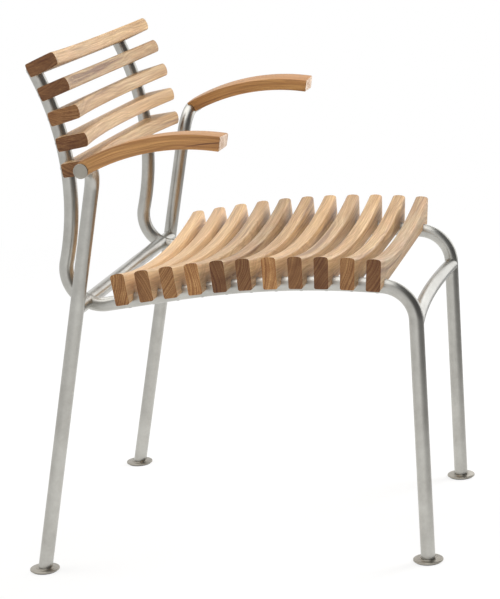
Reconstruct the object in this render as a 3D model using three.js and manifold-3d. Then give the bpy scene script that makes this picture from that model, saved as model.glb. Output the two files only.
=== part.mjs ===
// Outdoor armchair of bent steel tube and dished hardwood slats, in millimetres.
// +Z is up, the chair faces -Y and the sitter's left is +X.
// The origin lies on the floor, in the middle of the four feet.

import * as THREE from 'three';
import { mergeVertices } from 'three/addons/utils/BufferGeometryUtils.js';
import Module from 'manifold-3d';

const wasm = await Module();
wasm.setup();

// Driving dimensions, in millimetres
const gap = 0.3;
const tubeDiameter = 20;
const tubeWall = 1.5;

// The side tube: front leg, seat rail and back upright in one bent tube
const frontLegRun = 341;
const frontBendRadius = 48.5;
const seatCrownRadius = 1250;
const rearBendRadius = 48.5;
const backCurveRadius = 385;
const uprightRun = 19.3;
const rearRailSpacing = 401;
const frontRailInset = 11;

// The rear legs and what ties the frame together
const legSpacerLength = 29.5;
const rearLegTopHeight = 578.7;
const armStubBendRadius = 36;
const armStubRun = 27.5;
const frontCrossDrop = 4.8;
const frontCrossBow = 9;
const capThickness = 2;
const capSpigotLength = 9;

// The slats
const slatThickness = 19.5;
const slatOverhang = 30;
const slatDish = 22;
const seatSlatHeight = 44.5;
const backSlatDepth = 45;
const slatCrown = 2;
const slatEdgeRound = 2.5;
const seatSaddleOffset = 0.5;
const backSaddleOffset = 1.1;
const seatSlatPitch = 34.8;
const backSlatPitch = 35.5;
const frontSlatSetback = 6.5;
const rearSlatSetback = 31.5;
const uprightEndBeyondSlat = 4;

// The armrests
const armThickness = 20;
const armWidth = 47;
const armCurveRadius = 302;
const armRise = 1.8;
const armEdgeRound = 2.5;
const armLipSetback = 6;
const armOuterSetback = 1;
const tenonLength = 62;
const tenonWidth = 24;
const tenonThickness = 6;

// The feet
const footDiameter = 42;
const footThickness = 2.5;
const footCollarRise = 1.2;
const footCollarWidth = 2;
const glideDiameter = 38;
const glideThickness = 1.5;

// Angles, in degrees
const frontLegLean = 0.1;
const seatFrontRise = 5.7;
const seatRearFall = 7.5;
const crossTurn = 34.5;
const uprightForwardLean = 15.3;
const uprightTopLean = 23.3;
const rearLegLean = 11.9;
const armRearAngle = 26.9;
const armFrontAngle = 10.1;
const rightAngle = 90;

// The largest turn between two stations of a bend, in degrees
const bendStepAngle = 11;
const curveStepAngle = 6;
const seatStepAngle = 2.5;

// Counts
const seatSlatCount = 11;
const backSlatCount = 5;
const tubeSides = 16;
const boreSides = 10;
const slatSteps = 10;
const crossSteps = 6;
const armSteps = 12;
const footSides = 20;
const armEdgeSegments = 2;

// Shares of other sizes
const rimShare = 1 / 4;
const glideEdgeShare = 1 / 2;
const crownStepShare = 1 / 2;
const mergeShare = 1 / 1000;
const overrunShare = 4;
const trimReachShare = 2;

// Sizes that follow from the driving ones
const tubeRadius = tubeDiameter / 2;
const glideTop = glideThickness;
const footBottom = glideTop + gap;
const footTop = footBottom + footThickness;
const collarTop = footTop + footCollarRise;
const legBottom = collarTop + gap;
const rearRailX = rearRailSpacing / 2;
const frontRailX = rearRailX - frontRailInset;
const rearLegX = rearRailX + tubeDiameter + legSpacerLength;
const slatLength = 2 * (rearRailX + slatOverhang);
const seatSpan = frontSlatSetback + (seatSlatCount - 1) * seatSlatPitch + rearSlatSetback;
const degrees = THREE.MathUtils.degToRad;

// Finishes
function brushedSteel() {
  return new THREE.MeshStandardMaterial({ color: '#a9a9a2', roughness: 0.38, metalness: 1 });
}

function oiledTeak(color) {
  return new THREE.MeshStandardMaterial({ color, roughness: 0.62, metalness: 0 });
}

function blackPlastic() {
  return new THREE.MeshStandardMaterial({ color: '#1d1d1f', roughness: 0.55, metalness: 0 });
}

// A flat bend line in the plane of Y and Z, drawn like a pen that runs and turns.
// Its heading is an angle from +Y, so 90 degrees points straight up.
class BendLine {
  constructor(y, z, heading) {
    this.stations = [{ y, z, heading, length: 0 }];
  }

  get last() {
    return this.stations[this.stations.length - 1];
  }

  run(distance) {
    const { y, z, heading, length } = this.last;
    const dy = distance * Math.cos(degrees(heading));
    const dz = distance * Math.sin(degrees(heading));
    this.stations.push({ y: y + dy, z: z + dz, heading, length: length + distance });
    return this;
  }

  // A positive turn goes anticlockwise, as the heading does
  turn(radius, angle, largestStep) {
    const steps = Math.ceil(Math.abs(angle) / largestStep);
    const step = angle / steps;
    const chord = 2 * radius * Math.sin(degrees(Math.abs(step) / 2));
    for (let i = 0; i < steps; i += 1) {
      const { y, z, heading, length } = this.last;
      const chordHeading = heading + step / 2;
      this.stations.push({
        y: y + chord * Math.cos(degrees(chordHeading)),
        z: z + chord * Math.sin(degrees(chordHeading)),
        heading: heading + step,
        length: length + radius * degrees(Math.abs(step)),
      });
    }
    return this;
  }

  // The place and heading at a distance along the line
  at(distance) {
    const next = this.stations.findIndex((station) => station.length >= distance);
    const b = this.stations[next];
    const a = this.stations[next - 1];
    const share = (distance - a.length) / (b.length - a.length);
    return {
      y: THREE.MathUtils.lerp(a.y, b.y, share),
      z: THREE.MathUtils.lerp(a.z, b.z, share),
      heading: THREE.MathUtils.lerp(a.heading, b.heading, share),
    };
  }
}

// A tube's centre line whose rings stand exactly at the stations that are given
class StationCurve extends THREE.Curve {
  constructor(points, tangents) {
    super();
    this.points = points;
    this.tangents = tangents;
  }

  stationAt(share) {
    return Math.round(share * (this.points.length - 1));
  }

  getPointAt(share) {
    return this.points[this.stationAt(share)].clone();
  }

  getTangentAt(share) {
    return this.tangents[this.stationAt(share)].clone();
  }
}

function circlePoints(radius, sides) {
  const points = [];
  for (let i = 0; i < sides; i += 1) {
    const angle = (2 * Math.PI * i) / sides;
    points.push(new THREE.Vector2(radius * Math.cos(angle), radius * Math.sin(angle)));
  }
  return points;
}

// A round bar along a station curve, bored through when a wall is given
function roundBar(curve, radius, wall) {
  const section = new THREE.Shape(circlePoints(radius, tubeSides));
  if (wall) {
    section.holes.push(new THREE.Path(circlePoints(radius - wall, boreSides)));
  }
  const steps = curve.points.length - 1;
  return new THREE.ExtrudeGeometry(section, { steps, extrudePath: curve });
}

// Joining and cutting
function solidOf(geometry) {
  const bare = geometry.clone();
  bare.deleteAttribute('normal');
  bare.deleteAttribute('uv');
  const merged = mergeVertices(bare, gap * mergeShare);
  const vertProperties = new Float32Array(merged.attributes.position.array);
  const triVerts = new Uint32Array(merged.index.array);
  return new wasm.Manifold(new wasm.Mesh({ numProp: 3, vertProperties, triVerts }));
}

function geometryOf(solid) {
  const { vertProperties, triVerts } = solid.getMesh();
  const geometry = new THREE.BufferGeometry();
  geometry.setAttribute('position', new THREE.BufferAttribute(vertProperties, 3));
  geometry.setIndex(new THREE.BufferAttribute(triVerts, 1));
  return geometry.toNonIndexed();
}

// Cuts tools that stand in the chair's frame out of a piece that has its own placement
function cutOut(geometry, tools, placement = new THREE.Matrix4()) {
  const inverse = placement.clone().invert();
  let solid = solidOf(geometry);
  for (const tool of tools) {
    solid = solid.subtract(solidOf(tool.clone().applyMatrix4(inverse)));
  }
  return geometryOf(solid);
}

const chair = new THREE.Group();

function addPiece(name, geometry, material, placement = new THREE.Matrix4()) {
  geometry.computeVertexNormals();
  const mesh = new THREE.Mesh(geometry, material);
  mesh.name = name;
  placement.decompose(mesh.position, mesh.quaternion, mesh.scale);
  chair.add(mesh);
}

// The side tube's bend line, first drawn from a front foot at Y = 0
function sideBendLine(footY) {
  const legHeading = rightAngle - frontLegLean;
  const uprightHeading = rightAngle + uprightForwardLean;
  const line = new BendLine(footY, footBottom, legHeading);
  line.run(frontLegRun);
  line.turn(frontBendRadius, seatFrontRise - legHeading, bendStepAngle);
  const frontBendEnd = line.last.length;
  line.turn(seatCrownRadius, -seatFrontRise - seatRearFall, seatStepAngle);
  line.run(frontBendEnd + seatSpan - line.last.length);
  const rearBendStart = line.last.length;
  line.turn(rearBendRadius, uprightHeading + seatRearFall, bendStepAngle);
  line.turn(backCurveRadius, -uprightForwardLean - uprightTopLean, curveStepAngle);
  line.run(uprightRun);
  return { line, frontBendEnd, rearBendStart };
}

// Where the rear leg, the rear cross tube and the side tube meet, seen from the side
function crossingOf({ line, rearBendStart }) {
  return line.at(rearBendStart + rearBendRadius * degrees(crossTurn));
}

function rearFootY(crossing) {
  return crossing.y + crossing.z * Math.tan(degrees(rearLegLean));
}

// The feet are centred on the origin, front to back
const draft = sideBendLine(0);
const footReach = rearFootY(crossingOf(draft));
const frontFootY = -footReach / 2;
const side = sideBendLine(frontFootY);
const crossing = crossingOf(side);
const backFootY = rearFootY(crossing);

// The side tubes stand a little closer together at the front
const railToe = frontRailInset / (crossing.y - frontFootY);

function railX(y) {
  return frontRailX + railToe * (y - frontFootY);
}

function sideCurve(hand, extraRun = 0) {
  const points = [];
  const tangents = [];
  for (const { y, z, heading } of side.line.stations) {
    const dy = Math.cos(degrees(heading));
    const dz = Math.sin(degrees(heading));
    points.push(new THREE.Vector3(hand * railX(y), y, z));
    tangents.push(new THREE.Vector3(hand * railToe * dy, dy, dz).normalize());
  }
  const end = points.length - 1;
  points[end].addScaledVector(tangents[end], extraRun);
  return new StationCurve(points, tangents);
}

// The rear leg leans back to its foot, and its top bends outwards under the armrest
const legUp = new THREE.Vector3(0, -Math.sin(degrees(rearLegLean)), Math.cos(degrees(rearLegLean)));

function rearLegAxis(hand, z) {
  const y = backFootY - z * Math.tan(degrees(rearLegLean));
  return new THREE.Vector3(hand * rearLegX, y, z);
}

const stubCentre = rearLegAxis(1, rearLegTopHeight);
const stubEndX = rearLegX + armStubBendRadius + armStubRun;

function rearLegCurve(hand, extraRun = 0) {
  const outwards = new THREE.Vector3(hand, 0, 0);
  const top = rearLegAxis(hand, rearLegTopHeight);
  const bendStart = top.clone().addScaledVector(legUp, -armStubBendRadius);
  const bendCentre = bendStart.clone().addScaledVector(outwards, armStubBendRadius);
  const points = [rearLegAxis(hand, footBottom)];
  const tangents = [legUp.clone()];
  const steps = Math.ceil(rightAngle / bendStepAngle);
  for (let i = 0; i <= steps; i += 1) {
    const angle = degrees((rightAngle * i) / steps);
    const point = bendCentre.clone();
    point.addScaledVector(outwards, -armStubBendRadius * Math.cos(angle));
    point.addScaledVector(legUp, armStubBendRadius * Math.sin(angle));
    points.push(point);
    const tangent = legUp.clone().multiplyScalar(Math.cos(angle));
    tangents.push(tangent.addScaledVector(outwards, Math.sin(angle)));
  }
  const stubRun = armStubRun + extraRun;
  points.push(points[points.length - 1].clone().addScaledVector(outwards, stubRun));
  tangents.push(outwards.clone());
  return new StationCurve(points, tangents);
}

function straightCurve(from, to) {
  const tangent = to.clone().sub(from).normalize();
  return new StationCurve([from, to], [tangent, tangent.clone()]);
}

// Solids one gap larger than the tubes, which cope whatever lands on them
const hands = [
  { name: 'right', sign: -1 },
  { name: 'left', sign: 1 },
];
const sideClearance = {};
const legClearance = {};
const copeOverrun = overrunShare * capThickness;
for (const { name, sign } of hands) {
  sideClearance[name] = roundBar(sideCurve(sign, gap), tubeRadius + gap);
  legClearance[name] = roundBar(rearLegCurve(sign, copeOverrun), tubeRadius + gap);
}

// A block that trims the leaning legs level, just above the feet
function floorTrim() {
  const reach = trimReachShare * footReach;
  const block = new THREE.BoxGeometry(reach, reach, reach);
  block.translate(0, 0, legBottom - reach / 2);
  return block;
}

function addSideTube({ name, sign }) {
  const tube = roundBar(sideCurve(sign), tubeRadius, tubeWall);
  addPiece(`side_tube_${name}`, cutOut(tube, [floorTrim()]), brushedSteel());
}

function addRearLeg({ name, sign }) {
  const tube = roundBar(rearLegCurve(sign), tubeRadius, tubeWall);
  addPiece(`rear_leg_${name}`, cutOut(tube, [floorTrim()]), brushedSteel());
}

// A plug that closes the outer end of the rear leg, with a spigot in its bore
function addLegCap({ name, sign }) {
  const boreRadius = (tubeRadius - tubeWall) * Math.cos(Math.PI / boreSides);
  const spigotRadius = boreRadius - gap;
  const rim = capThickness * rimShare;
  const profile = [
    [0, -capSpigotLength],
    [spigotRadius, -capSpigotLength],
    [spigotRadius, 0],
    [tubeRadius, 0],
    [tubeRadius, capThickness - rim],
    [tubeRadius - rim, capThickness],
    [0, capThickness],
  ].map(([r, h]) => new THREE.Vector2(r, h));
  const cap = new THREE.LatheGeometry(profile, tubeSides);
  const place = new THREE.Matrix4().makeRotationZ(-sign * degrees(rightAngle));
  place.setPosition(sign * (stubEndX + gap), stubCentre.y, stubCentre.z);
  addPiece(`leg_cap_${name}`, geometryOf(solidOf(cap)), brushedSteel(), place);
}

// The rear cross tube runs between the side tubes at the rear bends
function addRearCrossTube() {
  const reach = railX(crossing.y);
  const from = new THREE.Vector3(-reach, crossing.y, crossing.z);
  const to = new THREE.Vector3(reach, crossing.y, crossing.z);
  const tube = roundBar(straightCurve(from, to), tubeRadius, tubeWall);
  const coped = cutOut(tube, [sideClearance.right, sideClearance.left]);
  addPiece('rear_cross_tube', coped, brushedSteel());
}

// A short tube that holds each rear leg clear of the side tube
function addLegSpacer({ name, sign }) {
  const from = new THREE.Vector3(sign * railX(crossing.y), crossing.y, crossing.z);
  const to = rearLegAxis(sign, crossing.z);
  const tube = roundBar(straightCurve(from, to), tubeRadius, tubeWall);
  const coped = cutOut(tube, [sideClearance[name], legClearance[name]]);
  addPiece(`leg_spacer_${name}`, coped, brushedSteel());
}

// The front cross tube joins the legs just below their bends.
// It bows towards the back, clear of the sitter's calves.
function addFrontCrossTube() {
  const { y: legY, z: crossZ } = side.line.at(frontLegRun - frontCrossDrop);
  const reach = railX(legY);
  const points = [];
  const tangents = [];
  for (let i = 0; i <= crossSteps; i += 1) {
    const share = (2 * i) / crossSteps - 1;
    const bow = frontCrossBow * (1 - share * share);
    points.push(new THREE.Vector3(reach * share, legY + bow, crossZ));
    const slope = (-2 * frontCrossBow * share) / reach;
    tangents.push(new THREE.Vector3(1, slope, 0).normalize());
  }
  const tube = roundBar(new StationCurve(points, tangents), tubeRadius, tubeWall);
  const coped = cutOut(tube, [sideClearance.right, sideClearance.left]);
  addPiece('front_cross_tube', coped, brushedSteel());
}

// A slat's end section: crowned towards the sitter, rounded at the far edge
function slatSection(height) {
  const half = slatThickness / 2;
  const crownStep = half * crownStepShare;
  const crownStepDrop = slatCrown * crownStepShare ** 2;
  const section = new THREE.Shape();
  section.moveTo(-half, slatEdgeRound);
  section.lineTo(-half + slatEdgeRound, 0);
  section.lineTo(half - slatEdgeRound, 0);
  section.lineTo(half, slatEdgeRound);
  section.lineTo(half, height - slatCrown);
  section.lineTo(crownStep, height - crownStepDrop);
  section.lineTo(-crownStep, height - crownStepDrop);
  section.lineTo(-half, height - slatCrown);
  return section;
}

// The section drawn out to a full slat, then dished along its length.
// Each point sinks in proportion to its height, so the far edge stays straight.
function slatBlank(height, saddleOffset) {
  const section = slatSection(height);
  const blank = new THREE.ExtrudeGeometry(section, {
    depth: slatLength,
    steps: slatSteps,
    bevelEnabled: false,
  });
  const position = blank.attributes.position;
  for (let i = 0; i < position.count; i += 1) {
    const across = position.getX(i);
    const up = position.getY(i);
    const along = position.getZ(i) - slatLength / 2;
    const share = (2 * along) / slatLength;
    const sink = slatDish * (up / height) * (1 - share * share);
    position.setXYZ(i, along, across, up - sink + saddleOffset);
  }
  return blank;
}

// A slat stands square to the side tubes and is notched half round over both
function addSlat(name, blank, distance, color) {
  const { y, z, heading } = side.line.at(distance);
  const place = new THREE.Matrix4().makeRotationX(degrees(heading));
  place.setPosition(0, y, z);
  const notched = cutOut(blank, [sideClearance.right, sideClearance.left], place);
  addPiece(name, notched, oiledTeak(color), place);
}

function addSeatSlats() {
  const first = side.frontBendEnd + frontSlatSetback;
  for (let i = 0; i < seatSlatCount; i += 1) {
    const number = String(i + 1).padStart(2, '0');
    const blank = slatBlank(seatSlatHeight, seatSaddleOffset);
    addSlat(`seat_slat_${number}`, blank, first + i * seatSlatPitch, '#c9a077');
  }
}

function addBackSlats() {
  const top = side.line.last.length - uprightEndBeyondSlat;
  for (let i = 0; i < backSlatCount; i += 1) {
    const blank = slatBlank(backSlatDepth, backSaddleOffset);
    addSlat(`back_slat_${i + 1}`, blank, top - i * backSlatPitch, '#c79c72');
  }
}

// The armrest's centre line is an arc that passes just above the rear leg's stub
const armSeatZ = stubCentre.z + armRise;
const armCentreY = stubCentre.y - armCurveRadius * Math.sin(degrees(armRearAngle));
const armCentreZ = armSeatZ - armCurveRadius * Math.cos(degrees(armRearAngle));
const armOuterX = stubEndX + gap + capThickness - armOuterSetback;
const armMiddleX = armOuterX - armWidth / 2;

// A bar of steel in the armrest's rear end, grown on all sides when it cuts the mortise
function tenonBlock(sign, growth) {
  const length = tenonLength + growth;
  const thickness = tenonThickness + 2 * growth;
  const block = new THREE.BoxGeometry(tenonWidth + 2 * growth, length, thickness);
  block.translate(0, -length / 2, 0);
  block.rotateX(degrees(-armRearAngle));
  block.translate(sign * armMiddleX, stubCentre.y, armSeatZ);
  return block;
}

function addArmTenon({ name, sign }) {
  const bar = cutOut(tenonBlock(sign, 0), [legClearance[name]]);
  addPiece(`arm_tenon_${name}`, bar, brushedSteel());
}

// An arched armrest of even thickness, fish-mouthed round the rear leg's stub
function armBlank() {
  const inset = armEdgeRound;
  const outer = armCurveRadius + armThickness / 2 - inset;
  const inner = armCurveRadius - armThickness / 2 + inset;
  const start = degrees(armRearAngle) - (armLipSetback + inset) / armCurveRadius;
  const end = -degrees(armFrontAngle) + inset / armCurveRadius;
  const outline = [];
  for (let i = 0; i <= armSteps; i += 1) {
    const angle = THREE.MathUtils.lerp(start, end, i / armSteps);
    outline.push(new THREE.Vector2(outer * Math.sin(angle), outer * Math.cos(angle)));
  }
  for (let i = armSteps; i >= 0; i -= 1) {
    const angle = THREE.MathUtils.lerp(start, end, i / armSteps);
    outline.push(new THREE.Vector2(inner * Math.sin(angle), inner * Math.cos(angle)));
  }
  const blank = new THREE.ExtrudeGeometry(new THREE.Shape(outline), {
    depth: armWidth - 2 * inset,
    bevelEnabled: true,
    bevelThickness: inset,
    bevelSize: inset,
    bevelSegments: armEdgeSegments,
  });
  blank.translate(0, 0, inset - armWidth / 2);
  return blank;
}

function addArmrest({ name, sign }) {
  const basis = new THREE.Matrix4().makeBasis(
    new THREE.Vector3(0, 1, 0),
    new THREE.Vector3(0, 0, 1),
    new THREE.Vector3(1, 0, 0),
  );
  const place = basis.setPosition(sign * armMiddleX, armCentreY, armCentreZ);
  const tools = [legClearance[name], tenonBlock(sign, gap)];
  const coped = cutOut(armBlank(), tools, place);
  addPiece(`armrest_${name}`, coped, oiledTeak('#b8874f'), place);
}

// A flat steel disc with a low collar, on a plastic glide
function addFoot(name, x, y) {
  const radius = footDiameter / 2;
  const collarRadius = tubeRadius / Math.cos(degrees(rearLegLean)) + footCollarWidth;
  const edge = footThickness * rimShare;
  const glideEdge = glideThickness * glideEdgeShare;
  const discProfile = [
    [0, footBottom],
    [radius - edge, footBottom],
    [radius, footBottom + edge],
    [radius, footTop - edge],
    [radius - edge, footTop],
    [collarRadius + footCollarRise, footTop],
    [collarRadius, collarTop],
    [0, collarTop],
  ].map(([r, h]) => new THREE.Vector2(r, h));
  const glideRadius = glideDiameter / 2;
  const glideProfile = [
    [0, 0],
    [glideRadius - glideEdge, 0],
    [glideRadius, glideEdge],
    [glideRadius, glideTop],
    [0, glideTop],
  ].map(([r, h]) => new THREE.Vector2(r, h));
  const place = new THREE.Matrix4().makeRotationX(degrees(rightAngle));
  place.setPosition(x, y, 0);
  const disc = geometryOf(solidOf(new THREE.LatheGeometry(discProfile, footSides)));
  const glide = geometryOf(solidOf(new THREE.LatheGeometry(glideProfile, footSides)));
  addPiece(`foot_disc_${name}`, disc, brushedSteel(), place);
  addPiece(`foot_glide_${name}`, glide, blackPlastic(), place);
}

for (const hand of hands) {
  addSideTube(hand);
  addRearLeg(hand);
  addLegCap(hand);
  addLegSpacer(hand);
  addArmTenon(hand);
  addArmrest(hand);
  addFoot(`front_${hand.name}`, hand.sign * railX(frontFootY), frontFootY);
  addFoot(`rear_${hand.name}`, hand.sign * rearLegX, backFootY);
}
addRearCrossTube();
addFrontCrossTube();
addSeatSlats();
addBackSlats();

export default chair;
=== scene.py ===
# %% [markdown]
# # A garden armchair of bent steel tube and teak slats
# This lesson dresses a chair in Blender. The real chair is a welded frame of satin stainless
# steel tube with slats of bare teak across it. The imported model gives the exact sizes, and
# every piece below is laid over it with smoother curves and a worked out surface.

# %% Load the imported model
import math
import bpy
import bmesh
from mathutils import Matrix, Vector


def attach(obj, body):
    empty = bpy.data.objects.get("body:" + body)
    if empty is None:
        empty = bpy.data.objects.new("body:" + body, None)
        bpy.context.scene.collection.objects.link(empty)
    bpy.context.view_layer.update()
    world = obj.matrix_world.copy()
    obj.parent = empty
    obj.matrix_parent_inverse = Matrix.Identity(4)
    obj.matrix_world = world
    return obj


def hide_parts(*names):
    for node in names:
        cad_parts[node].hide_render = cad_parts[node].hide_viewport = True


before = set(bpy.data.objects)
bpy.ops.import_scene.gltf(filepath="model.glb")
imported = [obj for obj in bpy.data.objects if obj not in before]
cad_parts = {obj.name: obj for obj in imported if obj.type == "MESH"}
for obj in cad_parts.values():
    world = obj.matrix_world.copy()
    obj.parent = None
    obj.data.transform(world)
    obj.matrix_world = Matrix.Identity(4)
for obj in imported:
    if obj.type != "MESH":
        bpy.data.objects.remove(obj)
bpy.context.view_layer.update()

# %% [markdown]
# Blender works in metres and the workshop in millimetres. Keeping every size in millimetres
# next to one factor makes the numbers easy to compare with the drawing of the chair. A size
# that only one step needs is given there. The chair faces -Y, and the sitter's left is +X.

# %% Sizes shared by the whole chair
MM = 0.001
tube_radius = 10 * MM
rear_leg_x = 250 * MM
rear_leg_lean = math.radians(11.9)
leg_bottom_z = 5.8 * MM
seat_count = 11
seat_pitch = 34.8 * MM
front_setback = 6.5 * MM
rear_setback = 31.5 * MM
seat_span = front_setback + (seat_count - 1) * seat_pitch + rear_setback
hands = {"right": -1, "left": 1}
print("the seat rail is", round(seat_span / MM, 1), "mm long")

# %% [markdown]
# Each side of the frame is one tube: front leg, seat rail and back upright. A tube bender
# makes it as a chain of straight runs and turns, so it is drawn here the same way, with a
# pen that runs and turns in the plane of Y and Z. Heading 0 points to the rear, 90 points up.
# A spline through a few points would look similar, but its radii would be nobody's tooling.

# %% A pen that runs and turns
def run(line, distance):
    y, z, heading, length = line[-1]
    line.append((y + distance * math.cos(heading), z + distance * math.sin(heading),
                 heading, length + distance))


def turn(line, radius, degrees, step=2.0):
    count = max(2, math.ceil(abs(degrees) / step))
    part = math.radians(degrees) / count
    chord = 2 * radius * math.sin(abs(part) / 2)
    for _ in range(count):
        y, z, heading, length = line[-1]
        middle = heading + part / 2
        line.append((y + chord * math.cos(middle), z + chord * math.sin(middle),
                     heading + part, length + radius * abs(part)))


def place_on(line, distance):
    for before, after in zip(line, line[1:]):
        if after[3] >= distance:
            share = (distance - before[3]) / (after[3] - before[3])
            return tuple(a + (b - a) * share for a, b in zip(before, after))
    return line[-1]


print("the pen keeps y, z, heading and length")

# %% [markdown]
# Read from the front foot on, the tube goes almost straight up and turns to the rear through a
# tight corner. It follows the seat, which is crowned like a shallow arch, turns up through a
# second tight corner and curves over at the top of the back. The angles are in degrees.

# %% The side tube, run by run
foot_bottom_z = 1.8 * MM
front_leg_run = 341 * MM
front_leg_heading = 89.9
corner_radius = 48.5 * MM
seat_heading = 5.7
seat_radius = 1250 * MM
seat_turn = -13.2
seat_step = 0.4
rear_corner_turn = 112.8
back_radius = 385 * MM
back_turn = -38.6
back_step = 1.0
top_run = 19.3 * MM


def side_line(foot_y):
    line = [(foot_y, foot_bottom_z, math.radians(front_leg_heading), 0.0)]
    run(line, front_leg_run)
    turn(line, corner_radius, seat_heading - front_leg_heading)
    rail_start = line[-1][3]
    turn(line, seat_radius, seat_turn, seat_step)
    run(line, rail_start + seat_span - line[-1][3])
    bend_start = line[-1][3]
    turn(line, corner_radius, rear_corner_turn)
    turn(line, back_radius, back_turn, back_step)
    run(line, top_run)
    return line, rail_start, bend_start


draft, _, draft_bend = side_line(0.0)
print("one side takes", round(draft[-1][3] / MM), "mm of tube")

# %% [markdown]
# The rear leg crosses the side tube part of the way round the rear corner, where the cross tube
# is welded too. So the rear foot's place follows from the tube that was just drawn, and the
# chair is then moved to stand with the middle of its four feet on the origin. The rails are
# toed: they come closer together towards the front.

# %% Centre the feet on the origin
cross_turn = 34.5
front_rail_x = 189.5 * MM
rear_rail_x = 200.5 * MM
cross_run = corner_radius * math.radians(cross_turn)
draft_cross = place_on(draft, draft_bend + cross_run)
foot_reach = draft_cross[0] + draft_cross[1] * math.tan(rear_leg_lean)
front_foot_y = -foot_reach / 2
rear_foot_y = foot_reach / 2
line, rail_start, bend_start = side_line(front_foot_y)
line_length = line[-1][3]
cross_y, cross_z, cross_heading, _ = place_on(line, bend_start + cross_run)
toe = (rear_rail_x - front_rail_x) / (cross_y - front_foot_y)


def rail_x(y):
    return front_rail_x + toe * (y - front_foot_y)


print("feet", round(foot_reach / MM, 1), "mm apart, the cross tube",
      round(cross_z / MM, 1), "mm above the floor")

# %% [markdown]
# Nodes are added by one small function. It sets the node's options, then its inputs: an input
# is linked when it is given another node or its socket, and set to the plain value otherwise.
# Some nodes hold a hidden twin of each socket for every kind of data, so only open ones count.

# %% Functions that add a node and set its inputs
def set_inputs(tree, node, inputs):
    for key, value in inputs.items():
        same_name = [socket for socket in node.inputs if socket.enabled and socket.name == key]
        socket = same_name[0] if same_name else node.inputs[key]
        if isinstance(value, bpy.types.Node):
            value = next(output for output in value.outputs if output.enabled)
        if isinstance(value, bpy.types.NodeSocket):
            tree.links.new(value, socket)
        else:
            socket.default_value = value


def add_node(tree, kind, options=None, inputs=None):
    node = tree.nodes.new(kind)
    for name, value in (options or {}).items():
        setattr(node, name, value)
    set_inputs(tree, node, inputs or {})
    return node


def new_material(name):
    material = bpy.data.materials.new(name)
    material.use_nodes = True
    tree = material.node_tree
    return material, tree, tree.nodes["Principled BSDF"]


def linear(hex_colour):
    channels = [int(hex_colour[i:i + 2], 16) / 255 for i in (1, 3, 5)]
    return [c / 12.92 if c <= 0.04045 else ((c + 0.055) / 1.055) ** 2.4 for c in channels] + [1.0]


print("pale teak in linear colour", [round(c, 3) for c in linear("#E3C08A")])

# %% [markdown]
# Stainless steel, grade 304, with a satin finish: the tubes are ground with a fine belt, which
# leaves hairlines round them and a soft broken gloss. It is a bare metal, so metallic is 1 and
# the base colour is the colour of its reflection. The hairlines are a tenth of a millimetre on
# the real tube, too fine to show, and are drawn about half a millimetre wide. Handling leaves
# smears of a few millimetres and duller clouds of a few centimetres.

# %% Satin stainless steel
hairline_width = 0.5 * MM
hairline_depth = 0.05 * MM
smear_width = 4 * MM
cloud_width = 35 * MM


def steel_material(name, colour, dark_colour, roughness):
    material, tree, shader = new_material(name)
    along = add_node(tree, "ShaderNodeAttribute", {"attribute_name": "along"})
    place = add_node(tree, "ShaderNodeTexCoord").outputs["Object"]
    hairline_place = add_node(tree, "ShaderNodeCombineXYZ", {}, {"X": along.outputs["Fac"]})
    hairlines = add_node(tree, "ShaderNodeTexNoise", {}, {
        "Vector": hairline_place, "Scale": 1 / hairline_width, "Detail": 3.0, "Roughness": 0.7})
    clouds = add_node(tree, "ShaderNodeTexNoise", {}, {
        "Vector": place, "Scale": 1 / cloud_width, "Detail": 4.0, "Roughness": 0.6})
    smears = add_node(tree, "ShaderNodeTexNoise", {}, {
        "Vector": place, "Scale": 1 / smear_width, "Detail": 3.0, "Roughness": 0.55})
    shade = add_node(tree, "ShaderNodeMath", {"operation": "MULTIPLY_ADD"}, {
        0: smears, 1: 0.25, 2: clouds})
    darker = add_node(tree, "ShaderNodeMapRange", {}, {
        "Value": shade, "From Min": 0.4, "From Max": 0.85})
    tint = add_node(tree, "ShaderNodeMix", {"data_type": "RGBA"}, {
        "Factor": darker, "A": linear(colour), "B": linear(dark_colour)})
    gloss = add_node(tree, "ShaderNodeMapRange", {}, {
        "Value": hairlines, "From Min": 0.3, "From Max": 0.7,
        "To Min": roughness - 0.03, "To Max": roughness + 0.06})
    relief = add_node(tree, "ShaderNodeBump", {}, {
        "Height": hairlines, "Strength": 0.05, "Distance": hairline_depth})
    set_inputs(tree, shader, {
        "Metallic": 1.0, "Base Color": tint, "Roughness": gloss, "Normal": relief})
    return material


satin_steel = steel_material("satin_stainless_steel", "#C4C3BD", "#AFADA7", 0.30)
# This darker steel is also laid on the feet, where it paints shade on their up-facing tops
plug_steel_and_shaded_feet = steel_material("stainless_plug_and_shaded_feet", "#AEA99F", "#9D988E", 0.38)
weld_steel = steel_material("brushed_weld_steel", "#A5A39D", "#8B8882", 0.36)
screw_steel = steel_material("turned_screw_steel", "#A9A8A4", "#918F8A", 0.28)
print("steel finishes made, each with", len(satin_steel.node_tree.nodes), "nodes")

# %% [markdown]
# Teak is an oily tropical hardwood. Bare and finely sanded, its long faces are pale honey with
# long soft streaks, and its end grain is far darker, because the cut ends of the pores swallow
# light. Growth rings are rings only on the end grain: along a board they turn into long lines.
# So the pattern is worked out in the wood's own frame, X along the fibres, which each piece
# carries in an attribute named grain. Every piece takes its own part of the tree through its
# number, as no two slats of a real seat match. All sizes of the wood are in millimetres.

# %% Bare teak: where a point lies in the tree
trunk_spread = (3000, 900, 900)


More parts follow.
